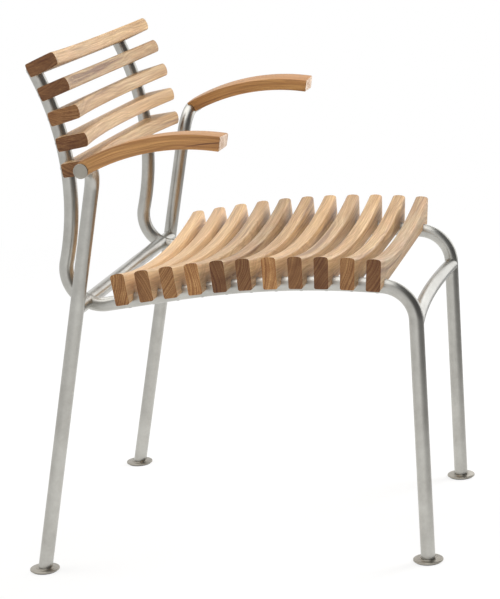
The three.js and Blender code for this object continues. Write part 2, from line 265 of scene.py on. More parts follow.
def tree_place(tree):
    grain = add_node(tree, "ShaderNodeAttribute", {"attribute_name": "grain"})
    number = add_node(tree, "ShaderNodeAttribute", {"attribute_name": "piece_number"})
    in_mm = add_node(tree, "ShaderNodeVectorMath", {"operation": "SCALE"}, {
        "Vector": grain.outputs["Vector"], "Scale": 1 / MM})
    luck = add_node(tree, "ShaderNodeTexWhiteNoise", {"noise_dimensions": "1D"}, {
        "W": number.outputs["Fac"]})
    shift = add_node(tree, "ShaderNodeVectorMath", {"operation": "MULTIPLY"}, {
        0: luck.outputs["Color"], 1: trunk_spread})
    place = add_node(tree, "ShaderNodeVectorMath", {"operation": "ADD"}, {0: in_mm, 1: shift})
    return in_mm, luck, place


print("pieces are sawn from a trunk", trunk_spread[0], "mm long")

# %% [markdown]
# The rings are noise along the distance from the heart of the tree, about 2.6 mm from one to
# the next and never two alike. The heart lies 80 to 230 mm off the board, to one side and
# above it, so the rings cross the end grain as slanting lines. It wanders along the board,
# which draws the long flames that sawn teak shows.

# %% Bare teak: growth rings
ring_width = 2.6
heart_nearest = (0, 80, 10)
heart_spread = (0, 110, 120)
wander_size = (210, 130, 130)
wander_reach = (0, 42, 42)
across_only = (0, 1, 1)


def growth_rings(tree, in_mm, luck, place):
    squeeze = add_node(tree, "ShaderNodeVectorMath", {"operation": "MULTIPLY"}, {
        0: place, 1: [1 / width for width in wander_size]})
    wander = add_node(tree, "ShaderNodeTexNoise", {}, {
        "Vector": squeeze, "Scale": 1.0, "Detail": 2.0})
    wandered = add_node(tree, "ShaderNodeVectorMath", {"operation": "MULTIPLY_ADD"}, {
        0: wander.outputs["Color"], 1: wander_reach, 2: in_mm})
    heart = add_node(tree, "ShaderNodeVectorMath", {"operation": "MULTIPLY_ADD"}, {
        0: luck.outputs["Color"], 1: heart_spread, 2: heart_nearest})
    reach = add_node(tree, "ShaderNodeVectorMath", {"operation": "SUBTRACT"}, {
        0: wandered, 1: heart})
    across = add_node(tree, "ShaderNodeVectorMath", {"operation": "MULTIPLY"}, {
        0: reach, 1: across_only})
    from_heart = add_node(tree, "ShaderNodeVectorMath", {"operation": "LENGTH"}, {0: across})
    rings = add_node(tree, "ShaderNodeTexNoise", {"noise_dimensions": "1D"}, {
        "W": from_heart, "Scale": 1 / ring_width, "Detail": 4.0, "Roughness": 0.65})
    return add_node(tree, "ShaderNodeMapRange", {}, {
        "Value": rings, "From Min": 0.38, "From Max": 0.64})


print("growth rings are", ring_width, "mm wide")

# %% [markdown]
# Between the rings lie marks of every size, from hand-broad patches to the pores, which are
# 0.3 mm wide on real teak and drawn at about 1 mm here, as finer ones wouldn't show. All of them
# are noise that is stretched along the fibres. Each mark has its length and width, how ragged
# it is, and the two levels of the noise between which it comes in.

# %% Bare teak: marks along the fibres
marks_mm = {
    "patches": (150, 30, 2.0, 0.4, 0.62),
    "rosy": (60, 14, 3.0, 0.42, 0.66),
    "streaks": (170, 5, 3.0, 0.42, 0.68),
    "fibres": (50, 1.2, 4.0, 0.38, 0.66),
    "veins": (330, 11, 2.0, 0.62, 0.7),
    "pores": (3, 1.1, 2.0, 0.38, 0.66),
}


def fibre_marks(tree, place):
    noises = {}
    marks = {}
    for title, (length, width, detail, low, high) in marks_mm.items():
        squeeze = add_node(tree, "ShaderNodeVectorMath", {"operation": "MULTIPLY"}, {
            0: place, 1: (1 / length, 1 / width, 1 / width)})
        noises[title] = add_node(tree, "ShaderNodeTexNoise", {}, {
            "Vector": squeeze, "Scale": 1.0, "Detail": detail, "Roughness": 0.58})
        marks[title] = add_node(tree, "ShaderNodeMapRange", {}, {
            "Value": noises[title], "From Min": low, "From Max": high})
    return noises, marks


print("marks along the fibres:", ", ".join(marks_mm))

# %% [markdown]
# Teak sometimes holds a thin dark line of resin. One runs along the outer face of one armrest
# and out at its front end. It is the set of points whose height, plus a share of their
# distance along the board, comes to one value, so a sum and its absolute value draw it. It
# fades in along the board and shows only on pieces whose resin attribute is 1.

# %% Bare teak: a line of resin
resin_slant = 0.187
resin_height = 34.0
resin_half_width = (0.35, 1.1)
resin_starts = (135, 168)
resin_outside = (19, 22)


def resin_line(tree, in_mm):
    spot = add_node(tree, "ShaderNodeSeparateXYZ", {}, {0: in_mm})
    slant = add_node(tree, "ShaderNodeMath", {"operation": "MULTIPLY_ADD"}, {
        0: spot.outputs["X"], 1: resin_slant, 2: spot.outputs["Z"]})
    beside = add_node(tree, "ShaderNodeMath", {"operation": "SUBTRACT"}, {
        0: slant, 1: resin_height})
    distance = add_node(tree, "ShaderNodeMath", {"operation": "ABSOLUTE"}, {0: beside})
    thin = add_node(tree, "ShaderNodeMapRange", {}, {
        "Value": distance, "From Min": resin_half_width[0], "From Max": resin_half_width[1],
        "To Min": 1.0, "To Max": 0.0})
    starts = add_node(tree, "ShaderNodeMapRange", {}, {
        "Value": spot.outputs["X"], "From Min": resin_starts[0], "From Max": resin_starts[1]})
    outside = add_node(tree, "ShaderNodeMapRange", {}, {
        "Value": spot.outputs["Y"], "From Min": resin_outside[0], "From Max": resin_outside[1]})
    has_line = add_node(tree, "ShaderNodeAttribute", {"attribute_name": "resin"})
    placed = add_node(tree, "ShaderNodeMath", {"operation": "MULTIPLY"}, {0: starts, 1: outside})
    drawn = add_node(tree, "ShaderNodeMath", {"operation": "MULTIPLY"}, {0: thin, 1: placed})
    return add_node(tree, "ShaderNodeMath", {"operation": "MULTIPLY"}, {
        0: drawn, 1: has_line.outputs["Fac"]})


print("the resin line starts", resin_starts[0], "mm along the board")

# %% [markdown]
# Colour is laid on in coats, as a painter would grain a door: a ground tone, broad patches,
# then darker lines that get finer and finer. Each coat says which pattern lets it through, how
# much of it shows at most, its colour, and how it mixes. A loop adds the coats one by one, so
# the recipe of a wood reads as a short list. The end grain has coats of its own.

# %% Bare teak: the coats
long_coats = [
    ("greyness", 0.9, "grey", "MIX"),
    ("patches", 0.5, "deep", "MIX"),
    ("rosy", 0.5, "rosy", "MIX"),
    ("rings", 0.5, "streak", "MIX"),
    ("streaks", 0.55, "streak", "MIX"),
    ("fibres", 0.45, "streak", "MIX"),
    ("veins", 0.75, "vein", "MIX"),
    # On the seat the pale coat is partly painted light on the rear slats
    ("paleness", 0.35, "pale", "MIX"),
    ("resin", 0.85, "resin", "MIX"),
]
end_coats = [
    ("tone", 1.0, "end_dark_and_arm_highlight", "MIX"),
    ("rings", 0.85, "end_ring", "MULTIPLY"),
    ("patches", 0.6, "end_patch", "MULTIPLY"),
    ("pores", 0.55, "end_pore", "MULTIPLY"),
]
shared_colours = {
    "pale": "#F2CFA6", "resin": "#4A1F14",
    "end_ring": "#A98464", "end_patch": "#C8AE94", "end_pore": "#B4967A"}


def lay_coats(tree, ground, coats, patterns, colours):
    laid = add_node(tree, "ShaderNodeRGB")
    laid.outputs[0].default_value = linear(colours[ground])
    for pattern, most, colour, kind in coats:
        share = add_node(tree, "ShaderNodeMath", {"operation": "MULTIPLY"}, {
            0: patterns[pattern], 1: most})
        laid = add_node(tree, "ShaderNodeMix", {"data_type": "RGBA", "blend_type": kind}, {
            "Factor": share, "A": laid, "B": linear(colours[colour])})
    return laid


print(len(long_coats), "coats on the long faces and", len(end_coats), "on the ends")

# %% [markdown]
# The ends are told from the long faces by which way the surface looks, so a board that is cut
# or notched shows end grain there by itself. Cut ends are also duller. The fibres stand out a
# tenth of a millimetre, as sanding takes the soft wood between them first.

# %% Bare teak: the whole finish
fibre_depth = 0.12 * MM
end_dullness = 0.22


def teak_material(name, end_axis, colours):
    material, tree, shader = new_material(name)
    in_mm, luck, place = tree_place(tree)
    noises, patterns = fibre_marks(tree, place)
    patterns["rings"] = growth_rings(tree, in_mm, luck, place)
    patterns["resin"] = resin_line(tree, in_mm)
    for title in ("greyness", "tone", "paleness"):
        reader = add_node(tree, "ShaderNodeAttribute", {"attribute_name": title})
        patterns[title] = reader.outputs["Fac"]
    colours = {**shared_colours, **colours}
    long_face = lay_coats(tree, "ground", long_coats, patterns, colours)
    end_face = lay_coats(tree, "end_pale_and_arm_highlight", end_coats, patterns, colours)

    surface = add_node(tree, "ShaderNodeNewGeometry")
    facing = add_node(tree, "ShaderNodeSeparateXYZ", {}, {0: surface.outputs["Normal"]})
    endways = add_node(tree, "ShaderNodeMath", {"operation": "ABSOLUTE"}, {
        0: facing.outputs[end_axis]})
    is_end = add_node(tree, "ShaderNodeMapRange", {}, {
        "Value": endways, "From Min": 0.62, "From Max": 0.92})
    colour = add_node(tree, "ShaderNodeMix", {"data_type": "RGBA"}, {
        "Factor": is_end, "A": long_face, "B": end_face})
    dull = add_node(tree, "ShaderNodeMapRange", {}, {
        "Value": patterns["fibres"], "To Min": 0.4, "To Max": 0.54})
    duller = add_node(tree, "ShaderNodeMath", {"operation": "MULTIPLY_ADD"}, {
        0: is_end, 1: end_dullness, 2: dull})
    relief = add_node(tree, "ShaderNodeBump", {}, {
        "Height": noises["fibres"], "Strength": 0.35, "Distance": fibre_depth})
    set_inputs(tree, shader, {"Base Color": colour, "Roughness": duller, "Normal": relief})
    return material


slat_teak = teak_material("sanded_teak_slats", "X", {
    "ground": "#E3C08A", "grey": "#AE9F80", "deep": "#BC8F5A", "rosy": "#D2A582",
    "streak": "#73502E", "vein": "#5F3D28", "end_pale_and_arm_highlight": "#CBA06A", "end_dark_and_arm_highlight": "#86603A"})
# The armrests' end colours are nearly white: a painted highlight of the front light on the nose
# and the cut ends, in place of the dark end grain of teak.
arm_teak = teak_material("sanded_teak_arms_painted_lit_ends", "Y", {
    "ground": "#CC9B5E", "grey": "#B98E54", "deep": "#A76C34", "rosy": "#C8905A",
    "streak": "#70451F", "vein": "#5E3019", "end_pale_and_arm_highlight": "#FBF4EA", "end_dark_and_arm_highlight": "#F6ECDE"})
print("teak finishes made, each with", len(slat_teak.node_tree.nodes), "nodes")

# %% [markdown]
# The glides under the feet are injection moulded polyamide, nearly black and matt. Moulding
# leaves a fine even grain, drawn here at a third of a millimetre.

# %% Black moulded polyamide
moulded_grain = 0.33 * MM
moulded_depth = 0.05 * MM
glide_plastic, tree, shader = new_material("moulded_black_polyamide")
place = add_node(tree, "ShaderNodeTexCoord").outputs["Object"]
speckle = add_node(tree, "ShaderNodeTexNoise", {}, {
    "Vector": place, "Scale": 1 / moulded_grain, "Detail": 2.0})
tint = add_node(tree, "ShaderNodeMix", {"data_type": "RGBA"}, {
    "Factor": speckle, "A": linear("#161618"), "B": linear("#2A2A2C")})
relief = add_node(tree, "ShaderNodeBump", {}, {
    "Height": speckle, "Strength": 0.2, "Distance": moulded_depth})
set_inputs(tree, shader, {"Base Color": tint, "Roughness": 0.55, "Normal": relief})
print("plastic finish made with", len(tree.nodes), "nodes")

# %% [markdown]
# A Geometry Nodes tree is a small machine: it takes a curve, and named inputs for its sizes.
# The next cells hold what every tree needs: a way to start one, a way to lay it on a curve
# with its inputs set, and a way to turn the result into a plain mesh. A modifier keeps an
# input under its socket's identifier, so that is looked up from the name.

# %% Start a tree, run it and keep its mesh
number_on_points = {"data_type": "FLOAT", "domain": "POINT"}
vector_on_points = {"data_type": "FLOAT_VECTOR", "domain": "POINT"}


def new_tree(name, sizes, counts=()):
    tree = bpy.data.node_groups.new(name, "GeometryNodeTree")
    for in_out in ("INPUT", "OUTPUT"):
        tree.interface.new_socket("Geometry", in_out=in_out, socket_type="NodeSocketGeometry")
    for title in sizes:
        tree.interface.new_socket(title, in_out="INPUT", socket_type="NodeSocketFloat")
    for title in counts:
        tree.interface.new_socket(title, in_out="INPUT", socket_type="NodeSocketInt")
    tree.interface.new_socket("Finish", in_out="INPUT", socket_type="NodeSocketMaterial")
    return tree, tree.nodes.new("NodeGroupInput").outputs


def end_tree(tree, geometry, finish):
    real = add_node(tree, "GeometryNodeRealizeInstances", {}, {"Geometry": geometry})
    painted = add_node(tree, "GeometryNodeSetMaterial", {}, {
        "Geometry": real, "Material": finish})
    add_node(tree, "NodeGroupOutput", {}, {"Geometry": painted})
    print("the tree for a", tree.name, "has", len(tree.nodes), "nodes")


def new_object(name, data):
    made = bpy.data.objects.new(name, data)
    bpy.context.scene.collection.objects.link(made)
    return made


def curve_object(name, points, closed=False):
    data = bpy.data.curves.new(name, "CURVE")
    data.dimensions = "3D"
    spline = data.splines.new("POLY")
    spline.points.add(len(points) - 1)
    for spot, point in zip(spline.points, points):
        spot.co = (*point, 1.0)
    spline.use_cyclic_u = closed
    return new_object(name, data)


def keep_mesh(obj, name):
    bpy.context.view_layer.update()
    graph = bpy.context.evaluated_depsgraph_get()
    mesh = bpy.data.meshes.new_from_object(obj.evaluated_get(graph), depsgraph=graph)
    mesh.name = name
    bpy.data.objects.remove(obj)
    return new_object(name, mesh)


def grow(obj, tree, values, name):
    modifier = obj.modifiers.new(tree.name, "NODES")
    modifier.node_group = tree
    for item in tree.interface.items_tree:
        if item.item_type == "SOCKET" and item.in_out == "INPUT" and item.name in values:
            modifier[item.identifier] = values[item.name]
    return keep_mesh(obj, name)


def soften(piece, degrees):
    piece.data.shade_smooth()
    piece.data.set_sharp_from_angle(angle=math.radians(degrees))


def settle(piece, material_slot, *nodes):
    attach(piece, "root")
    if nodes:
        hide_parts(*nodes)
    print(piece.name, len(piece.data.polygons), "faces")

# %% [markdown]
# A bent tube follows a path, so its tree is the simplest one: a circle is swept along the
# curve. The distance along the curve is stored on the way, for the hairlines of the steel.

# %% The tree for a bent tube
tube_tree, size = new_tree("bent tube", ["Radius"], ["Sides"])
parameter = add_node(tube_tree, "GeometryNodeSplineParameter")
marked = add_node(tube_tree, "GeometryNodeStoreNamedAttribute", number_on_points, {
    "Geometry": size["Geometry"], "Name": "along", "Value": parameter.outputs["Length"]})
ring = add_node(tube_tree, "GeometryNodeCurvePrimitiveCircle", {"mode": "RADIUS"}, {
    "Resolution": size["Sides"], "Radius": size["Radius"]})
swept = add_node(tube_tree, "GeometryNodeCurveToMesh", {}, {
    "Curve": marked.outputs[0], "Profile Curve": ring.outputs[0], "Fill Caps": True})
end_tree(tube_tree, swept, size["Finish"])


def tube(name, points, radius=tube_radius, sides=40, finish=satin_steel, closed=False):
    path = curve_object(name + "_path", points, closed)
    piece = grow(path, tube_tree, {"Radius": radius, "Sides": sides, "Finish": finish}, name)
    soften(piece, 40)
    return piece

# %% [markdown]
# The two side tubes stand a little closer together at the front than at the rear, so the path
# takes its X from its Y. The leg starts just above the foot.

# %% Side tubes
def side_path(hand):
    points = [(hand * rail_x(y), y, z) for y, z, _, _ in line]
    points[0] = (*points[0][:2], leg_bottom_z)
    return points


for name, hand in hands.items():
    side_tube = tube(f"bent_side_tube_{name}", side_path(hand))
    settle(side_tube, "stainless_steel", f"side_tube_{name}")

# %% [markdown]
# A rear leg leans back to its foot. Its top bends outwards on a 36 mm radius and ends in a
# short level stub, which carries the armrest.

# %% Rear legs
rear_leg_top_z = 578.7 * MM
stub_bend = 36 * MM
stub_run = 27.5 * MM
stub_end_x = rear_leg_x + stub_bend + stub_run
bend_steps = 30
leg_up = Vector((0, -math.sin(rear_leg_lean), math.cos(rear_leg_lean)))


def leg_axis(hand, z):
    return Vector((hand * rear_leg_x, rear_foot_y - z * math.tan(rear_leg_lean), z))


stub_centre = leg_axis(1, rear_leg_top_z)


def leg_path(hand, extra=0.0):
    outwards = Vector((hand, 0, 0))
    start = leg_axis(hand, rear_leg_top_z) - leg_up * stub_bend
    centre = start + outwards * stub_bend
    points = [leg_axis(hand, leg_bottom_z)]
    for i in range(bend_steps + 1):
        angle = math.radians(90 * i / bend_steps)
        across = outwards * stub_bend * math.cos(angle)
        points.append(centre - across + leg_up * stub_bend * math.sin(angle))
    points.append(points[-1] + outwards * (stub_run + extra))
    return points


for name, hand in hands.items():
    rear_leg = tube(f"bent_rear_leg_{name}", leg_path(hand))
    settle(rear_leg, "stainless_steel", f"rear_leg_{name}")

# %% [markdown]
# Three straight pieces lie on one axis at the rear bends: the cross tube between the side
# tubes, and a short spacer out to each rear leg. Their ends run into the tubes they are
# welded to, so that no gap shows at the weld.

# %% Rear cross tube and spacers
inside = 3 * MM
reach = rail_x(cross_y)
rear_cross = tube("rear_cross_bar", [
    (-reach + inside, cross_y, cross_z), (reach - inside, cross_y, cross_z)])
settle(rear_cross, "stainless_steel", "rear_cross_tube")
for name, hand in hands.items():
    spacer = tube(f"spacer_{name}", [
        (hand * (reach + inside), cross_y, cross_z),
        (hand * (rear_leg_x - inside), cross_y, cross_z)])
    settle(spacer, "stainless_steel", f"leg_spacer_{name}")

# %% [markdown]
# The front cross tube joins the front legs just below their corners. It is bowed 9 mm to the
# rear, which keeps it clear of the sitter's calves. A parabola is close enough to such a
# shallow bow, and its slope at the ends is easy to work out for the welds.

# %% Front cross tube
front_cross_z = 338 * MM
front_bow = 9 * MM
front_end_share = 0.98
front_steps = 40
front_leg_y = front_foot_y + front_cross_z * math.tan(math.radians(90 - front_leg_heading))
front_reach = rail_x(front_leg_y)


def front_cross_at(share):
    return (front_reach * share, front_leg_y + front_bow * (1 - share * share), front_cross_z)


front_cross = tube("bowed_front_cross_bar", [
    front_cross_at(front_end_share * (2 * i / front_steps - 1)) for i in range(front_steps + 1)])
settle(front_cross, "stainless_steel", "front_cross_tube")

# %% [markdown]
# Each joint is TIG welded, which leaves a small smooth bead where the two tubes meet. The bead
# follows the line in which one cylinder cuts another, so its path is worked out from that:
# on a round of the thin tube, the wall of the other tube is that much further in. The bead
# is sunk a little into the one tube and stands a little off the wall of the other.

# %% Weld beads
bead_radius = 0.7 * MM
bead_sides = 10
bead_steps = 40
bead_round = 0.93 * tube_radius
bead_wall = 1.02 * tube_radius


def bead_path(start, outwards, other_axis):
    forward = Vector(outwards).normalized()
    other = Vector(other_axis).normalized()
    other = (other - forward * other.dot(forward)).normalized()
    across = forward.cross(other)
    points = []
    for i in range(bead_steps):
        angle = 2 * math.pi * i / bead_steps
        offset = bead_round * math.cos(angle)
        depth = math.sqrt(bead_wall ** 2 - offset ** 2)
        points.append(Vector(start) + forward * depth + across * offset
                      + other * bead_round * math.sin(angle))
    return points


rear_axis = (0, math.cos(cross_heading), math.sin(cross_heading))
for name, hand in hands.items():
    beads = [
        ("cross", (hand * reach, cross_y, cross_z), (-hand, 0, 0), rear_axis),
        ("spacer", (hand * reach, cross_y, cross_z), (hand, 0, 0), rear_axis),
        ("leg", leg_axis(hand, cross_z), (-hand, 0, 0), leg_up),
        ("front", (hand * front_reach, front_leg_y, front_cross_z),
         (-hand, 2 * front_bow / front_reach, 0), (0, 0, 1)),
    ]
    for place, start, outwards, other in beads:
        path = bead_path(start, outwards, other)
        bead = tube(f"weld_{place}_{name}", path, bead_radius, bead_sides, weld_steel, True)
        settle(bead, "stainless_steel")

# %% [markdown]
# The cap of the stub and the round feet are turned on a lathe, so each is a profile of radius
# and height carried once round an axis. The points on the axis are shared, which closes the
# ends without a hole. Sizes in a profile are in millimetres.

# %% Turned pieces
def turned(name, profile_mm, place, finish, sides=64):
    shape = bmesh.new()
    angles = [2 * math.pi * i / sides for i in range(sides)]
    rings = []
    for radius, height in profile_mm:
        if radius == 0:
            rings.append([shape.verts.new((0, 0, height * MM))] * sides)
        else:
            places = [(radius * MM * math.cos(angle), radius * MM * math.sin(angle), height * MM)
                      for angle in angles]
            rings.append([shape.verts.new(corner) for corner in places])
    for lower, upper in zip(rings, rings[1:]):
        for i in range(sides):
            j = (i + 1) % sides
            corners = dict.fromkeys((lower[i], lower[j], upper[j], upper[i]))
            shape.faces.new(list(corners))
    bmesh.ops.recalc_face_normals(shape, faces=shape.faces)
    shape.transform(place)
    mesh = bpy.data.meshes.new(name)
    shape.to_mesh(mesh)
    shape.free()
    mesh.materials.append(finish)
    piece = new_object(name, mesh)
    soften(piece, 35)
    return piece


def quarter_round(radius, top, edge, steps=4):
    angles = [math.radians(90 * i / steps) for i in range(steps + 1)]
    return [(radius - edge + edge * math.cos(angle), top - edge + edge * math.sin(angle))
            for angle in angles]


print("a foot's edge is a round of", len(quarter_round(21, 4.3, 0.9)), "points")

# %% [markdown]
# The cap is a plug: a spigot that goes 9 mm into the tube, a head as wide as the tube outside,
# and a shallow recess in its face, which shows as a fine ring. It is turned to face outwards.

# %% Caps of the stubs
cap_gap = 0.3 * MM
cap_thickness = 2 * MM
cap_profile = [(0, -9), (7.6, -9), (7.6, -0.3), (9.7, -0.3), *quarter_round(10, 2, 0.6),
               (8.2, 2), (8.0, 1.8), (0, 1.8)]
for name, hand in hands.items():
    turn_out = Matrix.Rotation(hand * math.radians(90), 4, "Y")
    end = Matrix.Translation((hand * (stub_end_x + cap_gap), stub_centre.y, stub_centre.z))
    cap = turned(f"stub_cap_{name}", cap_profile, end @ turn_out, plug_steel_and_shaded_feet)
    settle(cap, "stainless_steel", f"leg_cap_{name}")

# %% [markdown]
# A foot is a steel disc of 42 mm with a low collar, which the leg stands in. A thinner and
# narrower glide of plastic under it keeps the steel off the floor, so a dark line shows there.

# %% Feet and glides
foot_profile = [(0, 1.8), (20.6, 1.8), (21, 2.2), *quarter_round(21, 4.3, 0.9),
                (13.4, 4.3), (12.4, 4.6), (11.8, 5.5), (0, 5.5)]
glide_profile = [(0, 0), (18.2, 0), (19, 0.8), (19, 1.5), (0, 1.5)]
foot_places = {"front": (rail_x(front_foot_y), front_foot_y), "rear": (rear_leg_x, rear_foot_y)}
for name, hand in hands.items():
    for where, (x, y) in foot_places.items():
        place = Matrix.Translation((hand * x, y, 0))
        # The feet take the darker plug steel, a painted shade that dims the lamp's reflection on
        # their tops
        foot = turned(f"steel_foot_{where}_{name}", foot_profile, place, plug_steel_and_shaded_feet)
        settle(foot, "stainless_steel", f"foot_disc_{where}_{name}")
        glide = turned(f"plastic_glide_{where}_{name}", glide_profile, place, glide_plastic)
        settle(glide, "glide_plastic", f"foot_glide_{where}_{name}")

# %% [markdown]
# A slat is a straight board of teak, 19.5 mm thick, whose upper edge is sawn to a hollow that
# is 22 mm deep in the middle. Eleven of them make the seat and five the back, all square to
# the side tubes at an even pitch, so one tree makes both rows. It cuts the wanted stretch out
# of the rail's line, spaces points along it, and works out the rail's heading at each.

# %% The tree for a row of slats
slat_sizes = ["First", "Pitch", "Length", "Thickness", "Height", "Hollow", "Crown", "Edge",
              "Saddle"]
slat_tree, size = new_tree("row of slats", slat_sizes, ["Count"])
gaps = add_node(slat_tree, "ShaderNodeMath", {"operation": "SUBTRACT"}, {0: size["Count"], 1: 1.0})
last = add_node(slat_tree, "ShaderNodeMath", {"operation": "MULTIPLY_ADD"}, {
    0: gaps, 1: size["Pitch"], 2: size["First"]})
stretch = add_node(slat_tree, "GeometryNodeTrimCurve", {"mode": "LENGTH"}, {
    "Curve": size["Geometry"], "Start": size["First"], "End": last})
spots = add_node(slat_tree, "GeometryNodeResampleCurve", {}, {
    "Curve": stretch, "Count": size["Count"]})
tangent = add_node(slat_tree, "GeometryNodeInputTangent")
heading = add_node(slat_tree, "ShaderNodeSeparateXYZ", {}, {0: tangent})
angle = add_node(slat_tree, "ShaderNodeMath", {"operation": "ARCTAN2"}, {
    0: heading.outputs["Z"], 1: heading.outputs["Y"]})
turned_by = add_node(slat_tree, "ShaderNodeCombineXYZ", {}, {"X": angle})
half_length = add_node(slat_tree, "ShaderNodeMath", {"operation": "MULTIPLY"}, {
    0: size["Length"], 1: 0.5})
half_height = add_node(slat_tree, "ShaderNodeMath", {"operation": "MULTIPLY"}, {
    0: size["Height"], 1: 0.5})
half_thickness = add_node(slat_tree, "ShaderNodeMath", {"operation": "MULTIPLY"}, {
    0: size["Thickness"], 1: 0.5})
print("a row of slats takes", len(slat_sizes), "sizes and a count")

# %% [markdown]
# The end section is an oblong with rounded edges. The side that is sat on is crowned: a point
# drops with the square of how far it lies from the middle, and the more so the higher it is.

# %% The end section of a slat
side_cuts = 3
edge_steps = 4
oblong = add_node(slat_tree, "GeometryNodeCurvePrimitiveQuadrilateral", {}, {
    "Width": size["Thickness"], "Height": size["Height"]})
finer = add_node(slat_tree, "GeometryNodeSubdivideCurve", {}, {"Curve": oblong, "Cuts": side_cuts})
filleted = add_node(slat_tree, "GeometryNodeFilletCurve", {"mode": "POLY"}, {
    "Curve": finer, "Count": edge_steps, "Radius": size["Edge"]})
section_at = add_node(slat_tree, "GeometryNodeInputPosition")
section_xy = add_node(slat_tree, "ShaderNodeSeparateXYZ", {}, {0: section_at})
raised = add_node(slat_tree, "ShaderNodeMath", {"operation": "ADD"}, {
    0: section_xy.outputs["Y"], 1: half_height})
from_middle = add_node(slat_tree, "ShaderNodeMath", {"operation": "DIVIDE"}, {
    0: section_xy.outputs["X"], 1: half_thickness})
squared = add_node(slat_tree, "ShaderNodeMath", {"operation": "MULTIPLY"}, {
    0: from_middle, 1: from_middle})
crown_share = add_node(slat_tree, "ShaderNodeMath", {"operation": "DIVIDE"}, {
    0: size["Crown"], 1: size["Height"]})
drop_share = add_node(slat_tree, "ShaderNodeMath", {"operation": "MULTIPLY"}, {
    0: squared, 1: crown_share})
left_over = add_node(slat_tree, "ShaderNodeMath", {"operation": "SUBTRACT"}, {
    0: drop_share, 1: 1.0})
downwards = add_node(slat_tree, "ShaderNodeMath", {"operation": "MULTIPLY"}, {
    0: raised, 1: left_over})
mirrored = add_node(slat_tree, "ShaderNodeMath", {"operation": "MULTIPLY"}, {
    0: section_xy.outputs["X"], 1: -1.0})
section_place = add_node(slat_tree, "ShaderNodeCombineXYZ", {}, {"X": mirrored, "Y": downwards})
section = add_node(slat_tree, "GeometryNodeSetPosition", {}, {
    "Geometry": filleted, "Position": section_place})
print("end section drawn with", len(slat_tree.nodes), "nodes so far")

# %% [markdown]
# The board is that section carried along X. Its points are stored as the grain before they are
# moved, so the fibres run straight through the hollow, as they do in a board that is sawn. The
# hollow follows a rule: each point sinks by its share of the board's height, times one minus
# the square of its place along the board. The lower edge stays straight.

# %% The board, its hollow and the row
spine_points = 41
left_end = add_node(slat_tree, "ShaderNodeCombineXYZ", {}, {"X": half_length})
right_end = add_node(slat_tree, "ShaderNodeVectorMath", {"operation": "SCALE"}, {
    0: left_end, "Scale": -1.0})
spine = add_node(slat_tree, "GeometryNodeCurvePrimitiveLine", {}, {
    "Start": right_end, "End": left_end})
finer_spine = add_node(slat_tree, "GeometryNodeResampleCurve", {}, {
    "Curve": spine, "Count": spine_points})
upright = add_node(slat_tree, "GeometryNodeSetCurveNormal", {"mode": "Z_UP"}, {
    "Curve": finer_spine})
board = add_node(slat_tree, "GeometryNodeCurveToMesh", {}, {
    "Curve": upright, "Profile Curve": section, "Fill Caps": True})
board_at = add_node(slat_tree, "GeometryNodeInputPosition")
grained = add_node(slat_tree, "GeometryNodeStoreNamedAttribute", vector_on_points, {
    "Geometry": board, "Name": "grain", "Value": board_at})
board_xyz = add_node(slat_tree, "ShaderNodeSeparateXYZ", {}, {0: board_at})
length_share = add_node(slat_tree, "ShaderNodeMath", {"operation": "DIVIDE"}, {
    0: board_xyz.outputs["X"], 1: half_length})
length_square = add_node(slat_tree, "ShaderNodeMath", {"operation": "MULTIPLY"}, {
    0: length_share, 1: length_share})
openness = add_node(slat_tree, "ShaderNodeMath", {"operation": "SUBTRACT"}, {
    0: 1.0, 1: length_square})
depth_share = add_node(slat_tree, "ShaderNodeMath", {"operation": "DIVIDE"}, {
    0: board_xyz.outputs["Z"], 1: size["Height"]})
sink_share = add_node(slat_tree, "ShaderNodeMath", {"operation": "MULTIPLY"}, {
    0: openness, 1: depth_share})
sink = add_node(slat_tree, "ShaderNodeMath", {"operation": "MULTIPLY"}, {
    0: sink_share, 1: size["Hollow"]})
moved_by = add_node(slat_tree, "ShaderNodeMath", {"operation": "SUBTRACT"}, {
    0: size["Saddle"], 1: sink})
moved = add_node(slat_tree, "ShaderNodeCombineXYZ", {}, {"Z": moved_by})
hollowed = add_node(slat_tree, "GeometryNodeSetPosition", {}, {
    "Geometry": grained, "Offset": moved})
row = add_node(slat_tree, "GeometryNodeInstanceOnPoints", {}, {
    "Points": spots, "Instance": hollowed, "Rotation": turned_by})
count_up = add_node(slat_tree, "GeometryNodeInputIndex")
numbered = add_node(slat_tree, "GeometryNodeStoreNamedAttribute", {
    "data_type": "FLOAT", "domain": "INSTANCE"}, {
    "Geometry": row, "Name": "piece_number", "Value": count_up})
end_tree(slat_tree, numbered, size["Finish"])

# %% [markdown]
# The far edge of each slat has a half round notch over both side tubes. The notch is cut with
# a tube that is 0.3 mm larger, by a Boolean that is made and done with before the piece is
# handed on. The armrests are hollowed at the stub in the same way. The ends of the slats get a
# fine broken edge first, as a sander leaves.

# %% Cut the way for a tube out of a piece
tube_gap = 0.3 * MM
broken_edge = 0.8 * MM


def break_edges(piece):
    fine_edge = piece.modifiers.new("broken edge", "BEVEL")
    fine_edge.width = broken_edge
    fine_edge.segments = 2
    fine_edge.limit_method = "ANGLE"
    fine_edge.angle_limit = math.radians(60)


def cut_round(piece, paths, sides=40):
    cutters = []
    for points in paths:
        cutter = tube("cutter", points, tube_radius + tube_gap, sides)
        cut = piece.modifiers.new("way for a tube", "BOOLEAN")
        cut.operation = "DIFFERENCE"
        cut.solver = "EXACT"
        cut.object = cutter
        cutters.append(cutter)
    name = piece.name
    piece.name = name + "_uncut"
    piece = keep_mesh(piece, name)
    for cutter in cutters:
        bpy.data.objects.remove(cutter)
    soften(piece, 32)
    return piece


print("notches are", round((tube_radius + tube_gap) / MM, 1), "mm in radius")

